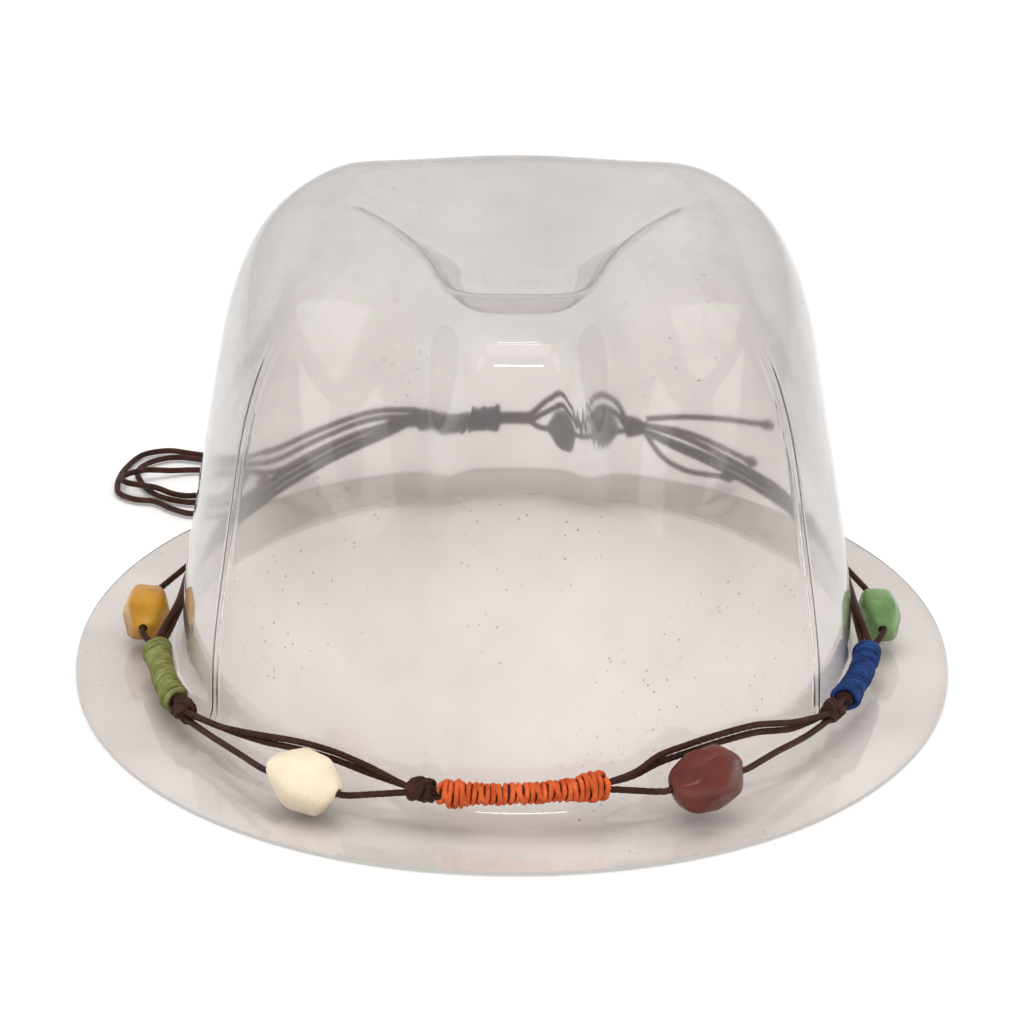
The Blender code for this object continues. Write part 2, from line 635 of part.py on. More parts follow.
def main():
    clear_scene()
    parts = new_collection("hat_form_with_beaded_band")
    cutters = new_collection("cutters")
    make_hat_form(parts)

    cord = new_material("waxed_cord", (0.05, 0.018, 0.012), 0.55)
    make_strand("strand_main", main_strand(), cord, parts)
    make_strand("strand_upper", upper_strand(), cord, parts)
    make_strand("strand_inner", inner_strand(), cord, parts)

    thread = {
        "wrap_olive": new_material("olive_thread", (0.19, 0.26, 0.05), 0.7),
        "wrap_orange": new_material("orange_thread", (0.75, 0.13, 0.03), 0.7),
        "wrap_blue": new_material("blue_thread", (0.01, 0.045, 0.2), 0.7),
        "closure_wrap": new_material("navy_thread", (0.008, 0.012, 0.05), 0.7),
    }
    for name, (*_, radius, widths) in SLEEVES.items():
        places = sleeve_places(name, len(widths))
        make_sleeve(name, places, radius, widths, thread.get(name, cord), parts, cutters)
    for name, (first, last, radius, widths) in BACK_SLEEVES.items():
        places = back_places(first, last, len(widths))
        make_sleeve(name, places, radius, widths, thread.get(name, cord), parts, cutters)

    resin = {
        "bead_yellow": new_material("yellow_resin", (0.62, 0.3, 0.02), 0.2),
        "bead_cream": new_material("cream_resin", (0.85, 0.74, 0.56), 0.2),
        "bead_red_brown": new_material("red_brown_resin", (0.2, 0.03, 0.02), 0.12),
        "bead_green": new_material("green_resin", (0.12, 0.3, 0.07), 0.2),
        "bead_grey": new_material("grey_resin", (0.15, 0.17, 0.19), 0.25),
    }
    for name, material in resin.items():
        make_bead(name, material, parts, cutters)
    for name in TAILS:
        make_tail(name, cord, parts)

    band = bpy.data.objects.new("band", None)
    parts.objects.link(band)
    for piece in parts.objects:
        if piece.name not in ("band", "hat_form"):
            piece.parent = band


main()
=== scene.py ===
"""The detailed look of a clear hat display form with a beaded cord hatband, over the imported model.

Shapes are worked out in millimetres, as in the model, and turned into metres where a mesh is made.
Angles round the crown are in degrees from its front, positive towards +X.
The view and the lights are in metres.
"""

import math

import bmesh
import bpy
import numpy as np
from mathutils import Matrix, Vector


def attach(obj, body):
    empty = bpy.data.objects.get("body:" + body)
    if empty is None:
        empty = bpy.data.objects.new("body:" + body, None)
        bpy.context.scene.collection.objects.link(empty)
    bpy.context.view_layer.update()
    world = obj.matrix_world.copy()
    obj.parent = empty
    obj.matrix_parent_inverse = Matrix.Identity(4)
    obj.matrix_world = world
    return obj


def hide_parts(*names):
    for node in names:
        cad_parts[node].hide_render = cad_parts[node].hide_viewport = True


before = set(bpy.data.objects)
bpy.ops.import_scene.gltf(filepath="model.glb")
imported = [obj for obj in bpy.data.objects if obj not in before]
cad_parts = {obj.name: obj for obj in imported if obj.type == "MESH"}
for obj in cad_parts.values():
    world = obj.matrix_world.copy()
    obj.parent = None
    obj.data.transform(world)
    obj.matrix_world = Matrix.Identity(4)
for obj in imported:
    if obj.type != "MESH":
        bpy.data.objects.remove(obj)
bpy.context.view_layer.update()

MM = 0.001
UP = Vector((0.0, 0.0, 1.0))

# The moulded form.
SHEET = 1.0
BRIM_HALF_WIDTH, BRIM_HALF_DEPTH = 111.0, 124.0
BASE_HALF_WIDTH, BASE_HALF_DEPTH = 85.2, 98.7
OVAL_POWER = 2.07
CROWN_HEIGHT = 118.0
CROWN_SHIFT = 1.2
FILLET = 8.0
LOW_DRAFT, DRAFT = 0.02, 0.163
KNEE, KNEE_BLEND = 24.0, 12.0
SHOULDER_WIDE, SHOULDER_TALL = 10.0, 30.0
NOSE_EDGE_WIDE, NOSE_EDGE_TALL = 6.0, 7.0
NOSE_HALF_WIDTH = 14.3
NOSE_FRONT = -69.0
DENT_DEPTH, DENT_FRONT, DENT_HALF_WIDTH = 15.0, -49.0, 44.0
DENT_DEPTH_AT_BACK = 7.0
FACE_TOP_BACK, FACE_LENGTH = 27.0, 114.0
FACE_FADE_LOW, FACE_FADE_HIGH = 10.0, 85.0
FLANK = 11.0
RIDGE_SPREAD = 0.14
RIDGE_FLARE, RIDGE_FLARE_FROM, RIDGE_FLARE_OVER = 21.6, 24.5, 19.0
DENT_RUN_IN, DENT_BACK_FIRST, DENT_BACK_LAST = 26.0, 15.0, 75.0
DENT_FLATNESS, DENT_SOFTNESS = 4, 1.3
FACE_STEEPNESS, FACE_ROUNDNESS = 3.2, 1.6
FLANK_MOST = 6.0
CREASE_BLEND = 6.0
NOSE_FADE_FRONT, NOSE_FADE_BACK = -80.0, -45.0
NOSE_FADE_IN, NOSE_FADE_OUT = 14.0, 30.0
MIDDLE_RADIUS = 0.1
HEIGHT_HALVINGS = 26

# Its fine surface: how many steps, how much more densely it is divided at the front, how often its
# creases are averaged, and the narrow upright rib on each side.
SURFACE_COLUMNS, CROWN_STEPS, CROWN_ROWS, FILLET_ROWS, BRIM_ROWS = 240, 260, 100, 10, 10
FRONT_CROWDING = 16.0
SOFTENING, SOFTENING_SHARE = 24, 0.5
SOFTEN_FROM_ROW, SOFTEN_FULL_ROW = 6, 16
RIB_ANGLE, RIB_HALF, RIB_SOFT, RIB_HEIGHT = 59.5, 1.2, 0.4, 0.22
RIB_STEPS, RIB_STEP, RIB_CLEAR = 10, 0.22, 2.6
RIB_FOOT, RIB_TOP = (3.0, 7.0), (92.0, 106.0)
HARD_EDGE = 50.0

# The cords.
GAP = 0.3
CORD_RADIUS = 0.8
STRAND_CIRCLE = 1.12
STRAND_TURNS = (-60.0, 60.0, 180.0)
STATION_STEP = 6.0
STRAND_STEP, TAIL_STEP = 6.5, 4.5
FINE_STRAND_STEP, FINE_TAIL_STEP = 0.9, 1.5
PLIES, PLY_DEPTH = 3, 0.09
STRAND_PITCH, THREAD_PITCH, KNOT_PITCH = 6.0, 3.0, 5.0
END_KNOT_LENGTH, END_KNOT_RADIUS, END_KNOT_CORD = 4.6, 1.75, 0.62
END_CORE_RADIUS, END_CORE_BULGE, END_CORE_STEPS = 0.9, 0.35, 8
END_KNOT_SPARE = 0.05

# The beads.
BEAD_BORE = 1.15
BEAD_ROUNDING = 1.7
FLAT_FACE = 12.0

# The line of the closure behind the crown.
LINE_BEHIND, LINE_HEIGHT = 102.2, 24.6

# The view: how far away it is, its height above the horizon and its small roll, in degrees.
VIEW_TARGET = (0.0, 0.0, 0.055)
VIEW_DISTANCE, VIEW_ELEVATION, VIEW_ROLL = 1.4, 22.474, 0.275
VIEW_LENS, VIEW_SHIFT = 195.34, (-0.001, -0.0525)


def make_camera():
    """The camera in front of the form, a little above it."""
    elevation = math.radians(VIEW_ELEVATION)
    tilt = math.pi / 2.0 - elevation
    back = Vector((0.0, -math.cos(elevation), math.sin(elevation)))
    data = bpy.data.cameras.new("camera")
    data.sensor_width = 36.0
    data.lens = VIEW_LENS
    data.shift_x, data.shift_y = VIEW_SHIFT
    data.clip_end = 20.0
    camera = bpy.data.objects.new("camera", data)
    place = Matrix.Translation(Vector(VIEW_TARGET) + back * VIEW_DISTANCE)
    roll = Matrix.Rotation(math.radians(VIEW_ROLL), 4, "Z")
    camera.matrix_world = place @ Matrix.Rotation(tilt, 4, "X") @ roll
    bpy.context.scene.collection.objects.link(camera)
    bpy.context.scene.camera = camera


# ---------------------------------------------------------------- the crown's outline


def oval_point(angle, half_width, half_depth):
    """A point of the oval at this angle from its front, in degrees."""
    sine = math.sin(math.radians(angle))
    cosine = math.cos(math.radians(angle))
    x = math.copysign(abs(sine) ** (2.0 / OVAL_POWER), sine) * half_width
    y = -math.copysign(abs(cosine) ** (2.0 / OVAL_POWER), cosine) * half_depth
    return x, y


def oval_radius(x, y, half_width, half_depth):
    """How far the oval reaches in the direction of this point."""
    norm = (abs(x / half_width) ** OVAL_POWER + abs(y / half_depth) ** OVAL_POWER) ** (1.0 / OVAL_POWER)
    return math.hypot(x, y) / max(norm, 1e-9)


def inset_at(height):
    """How far the crown's wall has moved in at these heights: upright at the foot, then drafted."""
    past_knee = np.clip(height - KNEE + KNEE_BLEND, 0.0, 2.0 * KNEE_BLEND)
    rise = past_knee**2 / (4.0 * KNEE_BLEND) + np.maximum(height - KNEE - KNEE_BLEND, 0.0)
    return LOW_DRAFT * height + (DRAFT - LOW_DRAFT) * rise


def wall_inset(height):
    """The same for one height, as a plain number."""
    return float(inset_at(height))


# ---------------------------------------------------------------- places round the crown


def beside_wall(angle, height, gap):
    """The point this far out from the wall, and the way out of the wall there."""
    fillet = max(SHEET + FILLET - height, 0.0)
    reach = gap - wall_inset(height) + FILLET - math.sqrt(FILLET**2 - fillet**2)
    x, y = oval_point(angle, BASE_HALF_WIDTH, BASE_HALF_DEPTH)
    out = Vector((x / BASE_HALF_WIDTH**2, y / BASE_HALF_DEPTH**2, 0.0)).normalized()
    return Vector((x + CROWN_SHIFT, y, height)) + out * reach, out


def behind(x, height=LINE_HEIGHT, y=LINE_BEHIND, turn=0.0):
    """A point behind the crown, and the way out there, turned by some degrees towards +X."""
    aside = math.radians(turn)
    return Vector((x, y, height)), Vector((math.sin(aside), math.cos(aside), 0.0))


def smooth_route(points, step, closed=False):
    """Points about a step apart, along a smooth curve through the given ones."""
    count = len(points)
    route = []
    for index in range(count if closed else count - 1):
        if closed:
            before, here, there, after = (points[(index + shift) % count] for shift in (-1, 0, 1, 2))
        else:
            here, there = points[index], points[index + 1]
            before = points[index - 1] if index else 2.0 * here - there
            after = points[index + 2] if index + 2 < count else 2.0 * there - here
        length = (there - here).length
        leave = (there - before) * length / max((there - before).length, 1e-6)
        arrive = (after - here) * length / max((after - here).length, 1e-6)
        pieces = max(round(length / step), 1)
        for piece in range(pieces):
            t = piece / pieces
            route.append(
                here * (2 * t**3 - 3 * t**2 + 1)
                + leave * (t**3 - 2 * t**2 + t)
                + there * (3 * t**2 - 2 * t**3)
                + arrive * (t**3 - t**2)
            )
    return route if closed else route + [points[-1]]


# Widths along a sleeve, as shares of its radius.
WRAP = (1.08, 1.12, 1.02, 0.98, 1.0, 0.97, 1.0, 0.98, 1.02, 1.12, 1.06)
ORANGE_WRAP = (1.25, 1.32, 1.02, 0.97, 1.0, 0.96, 1.0, 0.97, 1.05, 1.4, 1.3)
KNOT = (0.86, 1.12, 0.96, 1.1, 0.84)
SLEEVE_OVERRUN = 0.5

# name: first angle, last angle, first height, last height, gap to the wall, radius, widths
SLEEVES = {
    "wrap_olive": (-83.2, -66.2, 8.0, 7.2, 6.4, 3.3, WRAP),
    "knot_left": (-64.6, -61.8, 7.2, 7.2, 6.4, 3.0, KNOT),
    "knot_front": (-15.9, -12.3, 10.4, 10.3, 4.0, 3.2, KNOT),
    "wrap_orange": (-10.9, 13.0, 10.2, 12.2, 4.2, 2.75, ORANGE_WRAP),
    "knot_right": (58.4, 61.4, 9.4, 9.4, 3.9, 3.0, KNOT),
    "wrap_blue": (64.2, 83.2, 9.4, 8.6, 4.2, 3.3, WRAP),
    "knot_back_right": (160.6, 163.4, 23.4, 23.4, 7.0, 3.1, KNOT),
}
# name: first x, last x, radius, widths
BACK_SLEEVES = {
    "closure_wrap": (-3.6, -16.6, 3.4, WRAP),
    "knot_back_left": (-17.1, -21.7, 3.1, KNOT),
}
# Where along x a strand is held straight, through the closure and its knot.
STRAIGHT_STRETCH = (4.4, 3.0, -10.0, -21.8, -23.0)


def sleeve_place(name, angle):
    """The place on the sleeve's middle line at this angle, with the way out of the wall."""
    first, last, low, high, gap = SLEEVES[name][:5]
    return beside_wall(angle, low + (high - low) * (angle - first) / (last - first), gap)


def is_behind(name):
    return name in BACK_SLEEVES


def radius_and_widths(name):
    return BACK_SLEEVES[name][2:] if is_behind(name) else SLEEVES[name][5:]


def sleeve_frame(name, share):
    """The middle of the sleeve at this share of its length, with the ways out and up round it."""
    first, last = (BACK_SLEEVES if is_behind(name) else SLEEVES)[name][:2]
    station = first + (last - first) * share
    place, out = behind(station) if is_behind(name) else sleeve_place(name, station)
    return place, out, UP


def strand_points(places, strand):
    """Where this strand of three runs, beside the middle line through these places."""
    turn = math.radians(STRAND_TURNS[strand])
    return [place + (out * math.cos(turn) + UP * math.sin(turn)) * STRAND_CIRCLE for place, out in places]


def in_sleeve(name, strand, count):
    """Points that take a strand through the sleeve, straight at both of its ends."""
    first, last = SLEEVES[name][:2]
    angles = [end + shift for end in (first, last) for shift in (-SLEEVE_OVERRUN, SLEEVE_OVERRUN)]
    angles[2:2] = [first + (last - first) * index / (count + 1) for index in range(1, count + 1)]
    return strand_points([sleeve_place(name, angle) for angle in angles], strand)


def in_back_sleeves(strand):
    """Points that take a strand straight through the closure and the knot beside it."""
    return strand_points([behind(x) for x in STRAIGHT_STRETCH], strand)


# Corners as shares of the half sizes: along the bore, out from the wall, and up.
NUGGET_LONG = (
    (-1.0, -0.35, 0.1), (-0.92, 0.45, 0.0), (-0.45, -0.62, 0.78), (-0.5, 0.55, 0.84), (0.4, -0.55, 0.86),
    (0.55, 0.6, 0.72), (1.0, 0.3, -0.1), (0.95, -0.4, 0.1), (0.35, -0.65, -0.76), (0.3, 0.66, -0.8),
    (-0.4, -0.6, -0.82), (-0.55, 0.66, -0.72), (-0.1, 0.98, 0.05), (0.15, -0.98, 0.0),
)
NUGGET_TOP = (
    (-0.95, -0.3, 0.6), (-0.9, 0.45, 0.5), (-0.2, -0.6, 0.92), (-0.15, 0.5, 0.9), (0.5, -0.5, 0.85),
    (0.55, 0.5, 0.75), (1.0, 0.1, 0.2), (0.95, -0.45, 0.0), (0.85, 0.6, -0.25), (0.45, -0.5, -0.85),
    (0.5, 0.35, -0.9), (-0.35, 0.45, -0.88), (-0.4, -0.45, -0.85), (-0.85, 0.35, -0.25), (-0.8, -0.5, -0.3),
    (0.05, 0.98, 0.1), (0.0, -0.95, 0.1),
)
NUGGET_POINT = (
    (-1.0, 0.1, 0.0), (-0.85, -0.45, 0.35), (-0.85, 0.5, 0.2), (-0.3, -0.5, 0.8), (0.2, 0.45, 0.93),
    (0.45, -0.4, 0.93), (0.85, 0.3, 0.65), (0.95, -0.4, 0.3), (1.0, 0.1, -0.3), (0.75, 0.6, -0.4),
    (0.3, 0.3, -0.95), (0.1, -0.45, -0.88), (-0.5, 0.5, -0.78), (-0.6, -0.4, -0.74), (0.1, 0.97, 0.05),
    (0.0, -0.95, 0.0),
)

# name: middle and way out, half length, half depth, half height, corners
BEADS = {
    "bead_yellow": (beside_wall(-92.6, 9.2, 9.8), 10.2, 6.8, 7.9, NUGGET_LONG),
    "bead_cream": (beside_wall(-31.0, 9.4, 10.6), 11.0, 7.7, 8.1, NUGGET_TOP),
    "bead_red_brown": (beside_wall(27.3, 11.6, 9.6), 10.6, 8.0, 8.5, NUGGET_POINT),
    "bead_green": (beside_wall(93.4, 9.1, 7.8), 10.0, 6.2, 7.4, NUGGET_LONG),
    "bead_grey": (behind(17.2, 21.4, 102.7, 6.0), 8.6, 5.6, 6.8, NUGGET_LONG),
}


def bead_axes(name):
    """The bead's middle, the way along its bore, the way out and the way up."""
    middle, out = BEADS[name][0]
    return middle, UP.cross(out), out, UP


def through_bead(name):
    """Points that take a cord straight through the bead's bore."""
    middle, along, _, _ = bead_axes(name)
    half = BEADS[name][1]
    return [middle + along * place for place in (-half - 1.0, 2.0 - half, half - 2.0, half + 1.0)]


def wall_points(*stations):
    """Points along the wall, smoothly through stations given as angle, height and gap to the wall."""
    route = smooth_route([Vector(station) for station in stations], STATION_STEP)
    return [beside_wall(*station)[0] for station in route]


def main_strand():
    """The strand through every bead: from the closure round the left side, the front and the right side."""
    return [
        *in_back_sleeves(0),
        *wall_points((-152.0, 22.4, 1.3), (-139.0, 19.0, 1.3), (-122.0, 16.0, 1.3), (-110.0, 12.4, 3.0)),
        *through_bead("bead_yellow"),
        *in_sleeve("wrap_olive", 0, 2),
        *in_sleeve("knot_left", 0, 0),
        *wall_points((-53.0, 7.2, 6.6), (-44.5, 8.4, 8.4)),
        *through_bead("bead_cream"),
        *in_sleeve("knot_front", 0, 0),
        *in_sleeve("wrap_orange", 0, 5),
        *through_bead("bead_red_brown"),
        *wall_points((43.0, 10.4, 6.2), (51.0, 9.0, 4.8)),
        *in_sleeve("knot_right", 0, 0),
        *in_sleeve("wrap_blue", 0, 2),
        *through_bead("bead_green"),
        *wall_points((109.0, 13.0, 3.2), (121.0, 18.2, 1.3), (139.0, 19.8, 1.3), (151.0, 20.8, 3.6)),
        *in_sleeve("knot_back_right", 0, 0),
        *through_bead("bead_grey"),
    ]


def upper_strand():
    """The strand that passes highest over the beads."""
    return [
        *in_back_sleeves(1),
        *wall_points(
            (-152.0, 26.4, 1.3),
            (-139.0, 23.4, 1.3),
            (-122.0, 20.8, 1.3),
            (-108.0, 17.4, 1.2),
            (-98.0, 14.8, 1.1),
            (-90.5, 14.2, 1.6),
        ),
        *in_sleeve("wrap_olive", 1, 2),
        *in_sleeve("knot_left", 1, 0),
        *wall_points(
            (-53.0, 9.4, 4.4),
            (-44.0, 11.8, 1.6),
            (-36.0, 14.0, 1.1),
            (-29.0, 14.2, 1.1),
            (-23.5, 13.2, 1.8),
        ),
        *in_sleeve("knot_front", 1, 0),
        *in_sleeve("wrap_orange", 1, 5),
        *wall_points(
            (18.0, 14.0, 3.0),
            (22.5, 16.4, 1.4),
            (28.0, 17.4, 1.1),
            (34.5, 17.6, 1.1),
            (42.0, 16.4, 1.3),
            (50.0, 12.8, 2.4),
        ),
        *in_sleeve("knot_right", 1, 0),
        *in_sleeve("wrap_blue", 1, 2),
        *wall_points(
            (90.0, 14.0, 1.6),
            (98.0, 15.0, 1.1),
            (106.0, 17.8, 1.1),
            (121.0, 22.4, 1.3),
            (139.0, 24.0, 1.3),
            (151.0, 25.4, 3.2),
        ),
        *in_sleeve("knot_back_right", 1, 0),
        *[behind(*place)[0] for place in ((24.0, 30.4, 99.8), (17.0, 33.6, 99.2), (10.0, 30.8, 100.6))],
    ]


def inner_strand():
    """The strand that passes between the beads and the wall."""
    return [
        *in_back_sleeves(2),
        *wall_points(
            (-152.0, 24.3, 1.3),
            (-139.0, 21.2, 1.3),
            (-122.0, 18.5, 1.3),
            (-108.0, 15.2, 1.2),
            (-98.0, 12.8, 1.1),
            (-90.5, 12.3, 1.2),
        ),
        *in_sleeve("wrap_olive", 2, 2),
        *in_sleeve("knot_left", 2, 0),
        *wall_points(
            (-53.0, 8.2, 2.6),
            (-44.0, 10.0, 1.3),
            (-36.0, 12.0, 1.1),
            (-29.0, 12.2, 1.1),
            (-23.5, 11.2, 1.3),
        ),
        *in_sleeve("knot_front", 2, 0),
        *in_sleeve("wrap_orange", 2, 5),
        *wall_points(
            (18.0, 12.4, 1.6),
            (22.5, 14.4, 1.1),
            (28.0, 15.4, 1.1),
            (34.5, 15.6, 1.1),
            (42.0, 14.4, 1.2),
            (50.0, 10.8, 1.5),
        ),
        *in_sleeve("knot_right", 2, 0),
        *in_sleeve("wrap_blue", 2, 2),
        *wall_points(
            (90.0, 12.0, 1.2),
            (98.0, 13.0, 1.1),
            (106.0, 15.7, 1.1),
            (121.0, 20.3, 1.3),
            (139.0, 21.9, 1.3),
            (151.0, 23.2, 2.2),
        ),
        *in_sleeve("knot_back_right", 2, 0),
        *[behind(*place)[0] for place in ((24.0, 28.2, 97.2), (17.0, 30.6, 98.4), (10.0, 28.2, 99.2))],
    ]


# The free tails: from the knot beside the closure down to the table, where they lie in loops, and
# from the knot on the other side, short and stiff.
TAILS = {
    "tail_left_outer": (
        (-22.4, 104.6, 26.2), (-38.0, 108.2, 24.0), (-54.0, 113.0, 16.5), (-68.0, 121.0, 7.6),
        (-78.0, 128.0, 2.4), (-87.0, 132.0, 1.0), (-95.7, 134.8, 1.0), (-101.8, 132.6, 1.0),
        (-106.0, 124.4, 1.0), (-108.2, 114.0, 1.0), (-107.4, 104.0, 1.0), (-103.0, 100.0, 1.0),
        (-97.4, 98.6, 1.0), (-92.7, 93.8, 1.0), (-87.2, 90.2, 1.0), (-81.0, 91.4, 1.0),
        (-75.0, 95.8, 1.0), (-70.5, 100.4, 1.0),
    ),
    "tail_left_inner": (
        (-22.4, 105.0, 24.1), (-38.0, 108.4, 21.7), (-54.0, 112.6, 14.0), (-68.0, 118.6, 5.4),
        (-78.0, 125.0, 1.3), (-87.0, 128.6, 1.0), (-93.4, 130.0, 1.0), (-99.0, 127.6, 1.0),
        (-102.4, 123.2, 1.0), (-103.4, 118.4, 1.0), (-102.0, 112.2, 1.0), (-98.8, 105.0, 1.0),
        (-93.6, 100.2, 1.0), (-87.0, 98.0, 1.0), (-81.0, 99.4, 1.0), (-76.2, 103.8, 1.0),
        (-73.2, 109.6, 1.0),
    ),
    "tail_left_middle": (
        (-22.4, 104.3, 22.1), (-38.0, 107.0, 19.4), (-54.0, 110.6, 11.6), (-68.0, 115.4, 3.2),
        (-78.0, 119.4, 1.25), (-87.5, 121.0, 1.0), (-94.4, 119.0, 1.6), (-101.4, 116.0, 2.95),
        (-106.4, 112.0, 3.05), (-106.4, 107.8, 3.05), (-102.4, 105.4, 3.05), (-97.6, 104.4, 2.7),
        (-92.6, 103.2, 1.3), (-87.6, 102.6, 1.0), (-82.8, 105.4, 1.0), (-80.2, 110.6, 1.0),
    ),
    "tail_right_upper": (
        (34.9, 100.2, 25.6), (47.0, 104.6, 24.4), (59.0, 109.4, 21.6), (70.0, 113.6, 18.6),
    ),
    "tail_right_middle": (
        (35.2, 100.8, 23.3), (46.0, 106.4, 19.4), (57.0, 112.8, 12.6), (66.0, 118.4, 6.4),
    ),
    "tail_right_lower": (
        (34.6, 100.2, 21.1), (40.0, 103.6, 13.0), (48.0, 107.6, 7.0), (58.0, 111.4, 4.0),
    ),
}


# ---------------------------------------------------------------- objects and materials


def linked(name, data):
    """A new object in the scene."""
    made = bpy.data.objects.new(name, data)
    bpy.context.scene.collection.objects.link(made)
    return made


def stand_in(piece, body, node):
    """The piece rides on this body, in place of this node."""
    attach(piece, body)
    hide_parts(node)


def new_material(name, colour, roughness):
    """A material and its Principled shader."""
    material = bpy.data.materials.new(name)
    material.use_nodes = True
    shader = material.node_tree.nodes["Principled BSDF"]
    shader.inputs["Base Color"].default_value = (*colour, 1.0)
    shader.inputs["Roughness"].default_value = roughness
    return material, shader


def add_node(material, kind, **values):
    """A node of this kind, with some of its settings."""
    node = material.node_tree.nodes.new(kind)
    for name, value in values.items():
        setattr(node, name, value)
    return node


def noise(material, scale, detail=4.0, roughness=0.55):
    """Cloudy grey fixed to the object, at this many features to the metre."""
    coordinates = add_node(material, "ShaderNodeTexCoord")
    texture = add_node(material, "ShaderNodeTexNoise")
    texture.inputs["Scale"].default_value = scale
    texture.inputs["Detail"].default_value = detail
    texture.inputs["Roughness"].default_value = roughness
    material.node_tree.links.new(coordinates.outputs["Object"], texture.inputs["Vector"])
    return texture.outputs["Fac"]


def ramp(material, factor, *stops):
    """Colours by position along the factor."""
    node = add_node(material, "ShaderNodeValToRGB")
    while len(node.color_ramp.elements) < len(stops):
        node.color_ramp.elements.new(0.5)
    for element, (position, colour) in zip(node.color_ramp.elements, stops):
        element.position = position
        element.color = (*colour, 1.0)
    material.node_tree.links.new(factor, node.inputs["Fac"])
    return node.outputs["Color"]


def grey(level):
    return (level, level, level)


def times(material, first, second):
    """One colour multiplied by another."""
    node = add_node(material, "ShaderNodeMix", data_type="RGBA", blend_type="MULTIPLY")
    node.inputs["Factor"].default_value = 1.0
    material.node_tree.links.new(first, node.inputs["A"])
    material.node_tree.links.new(second, node.inputs["B"])
    return node.outputs["Result"]


def bump(material, shader, height, strength, distance):
    """Small relief from a height pattern, this deep in millimetres."""
    node = add_node(material, "ShaderNodeBump")
    node.inputs["Strength"].default_value = strength
    node.inputs["Distance"].default_value = distance * MM
    material.node_tree.links.new(height, node.inputs["Height"])
    material.node_tree.links.new(node.outputs["Normal"], shader.inputs["Normal"])


def cord_material(name, dark, light, roughness=0.5):
    """Waxed or plain cotton cord: fibres and uneven dye."""
    material, shader = new_material(name, light, roughness)
    links = material.node_tree.links
    patches = ramp(material, noise(material, 260.0, 5.0), (0.3, dark), (0.7, light))
    fibres = ramp(material, noise(material, 2600.0, 2.0), (0.3, grey(0.72)), (0.7, grey(1.1)))
    links.new(times(material, patches, fibres), shader.inputs["Base Color"])
    shader.inputs["Specular IOR Level"].default_value = 0.22
    bump(material, shader, noise(material, 3200.0, 3.0), 0.5, 0.12)
    return material


def resin_material(name, dark, light, roughness, gloss):
    """A polished nugget: cloudy colour, faint grain and worn patches in its gloss."""
    material, shader = new_material(name, light, roughness)
    links = material.node_tree.links
    clouds = ramp(material, noise(material, 95.0, 6.0), (0.32, dark), (0.66, light))
    grain = ramp(material, noise(material, 900.0, 3.0), (0.35, grey(0.96)), (0.65, grey(1.02)))
    links.new(times(material, clouds, grain), shader.inputs["Base Color"])
    dull = add_node(material, "ShaderNodeMapRange")
    dull.inputs["To Min"].default_value = roughness - 0.05
    dull.inputs["To Max"].default_value = roughness + 0.14
    links.new(noise(material, 210.0, 5.0), dull.inputs["Value"])
    links.new(dull.outputs["Result"], shader.inputs["Roughness"])
    shader.inputs["Subsurface Weight"].default_value = 0.06
    shader.inputs["Subsurface Radius"].default_value = (0.004, 0.003, 0.002)
    shader.inputs["Specular IOR Level"].default_value = gloss
    bump(material, shader, noise(material, 300.0, 3.0), 0.12, 0.3)
    return material


def dust_specks(material):
    """White with small dark specks, which gather in some patches of the surface."""
    links = material.node_tree.links
    coordinates = add_node(material, "ShaderNodeTexCoord")
    cells = add_node(material, "ShaderNodeTexVoronoi")
    cells.inputs["Scale"].default_value = 300.0
    links.new(coordinates.outputs["Object"], cells.inputs["Vector"])
    specks = ramp(material, cells.outputs["Distance"], (0.07, (0.35, 0.33, 0.32)), (0.12, grey(1.0)))
    patches = ramp(material, noise(material, 22.0, 3.0, 0.7), (0.47, grey(0.0)), (0.6, grey(1.0)))
    some = add_node(material, "ShaderNodeMix", data_type="RGBA")
    some.inputs["A"].default_value = (1.0, 1.0, 1.0, 1.0)
    links.new(patches, some.inputs["Factor"])
    links.new(specks, some.inputs["B"])
    return some.outputs["Result"]


def let_light_through(material, shader, colour):
    """Tints the light that falls through the sheet, instead of blocking it."""
    nodes, links = material.node_tree.nodes, material.node_tree.links
    clear = add_node(material, "ShaderNodeBsdfTransparent")
    clear.inputs["Color"].default_value = (*colour, 1.0)
    rays = add_node(material, "ShaderNodeLightPath")
    mixed = add_node(material, "ShaderNodeMixShader")
    links.new(rays.outputs["Is Shadow Ray"], mixed.inputs["Fac"])
    links.new(shader.outputs["BSDF"], mixed.inputs[1])
    links.new(clear.outputs["BSDF"], mixed.inputs[2])
    links.new(mixed.outputs["Shader"], nodes["Material Output"].inputs["Surface"])


def plastic_material():
    """Clear moulded sheet: pale pinkish grey, with painted shade that darkens it where seen edge on, with
    haze, smears and dust.
    """
    material, shader = new_material("clear_sheet", (0.86, 0.83, 0.81), 0.045)
    shader.inputs["IOR"].default_value = 1.47
    shader.inputs["Transmission Weight"].default_value = 0.972
    # Painted shade: the sheet's colour darkens to a bluish grey towards its silhouette, where it is seen
    # edge on.
    edge = add_node(material, "ShaderNodeLayerWeight")
    edge.inputs["Blend"].default_value = 0.35
    tint_and_edge_shade = ramp(
        material,
        edge.outputs["Facing"],
        (0.0, (0.835, 0.808, 0.795)),
        (0.6, (0.82, 0.8, 0.79)),
        (1.0, (0.58, 0.59, 0.62)),
    )
    smears = ramp(
        material,
        noise(material, 16.0, 5.0, 0.62),
        (0.36, (0.9, 0.895, 0.89)),
        (0.62, grey(1.0)),
    )
    colour = times(material, times(material, tint_and_edge_shade, smears), dust_specks(material))
    material.node_tree.links.new(colour, shader.inputs["Base Color"])
    bump(material, shader, noise(material, 30.0, 2.0), 0.12, 0.6)
    let_light_through(material, shader, (0.79, 0.745, 0.722))
    return material


# ---------------------------------------------------------------- the moulded form, finely


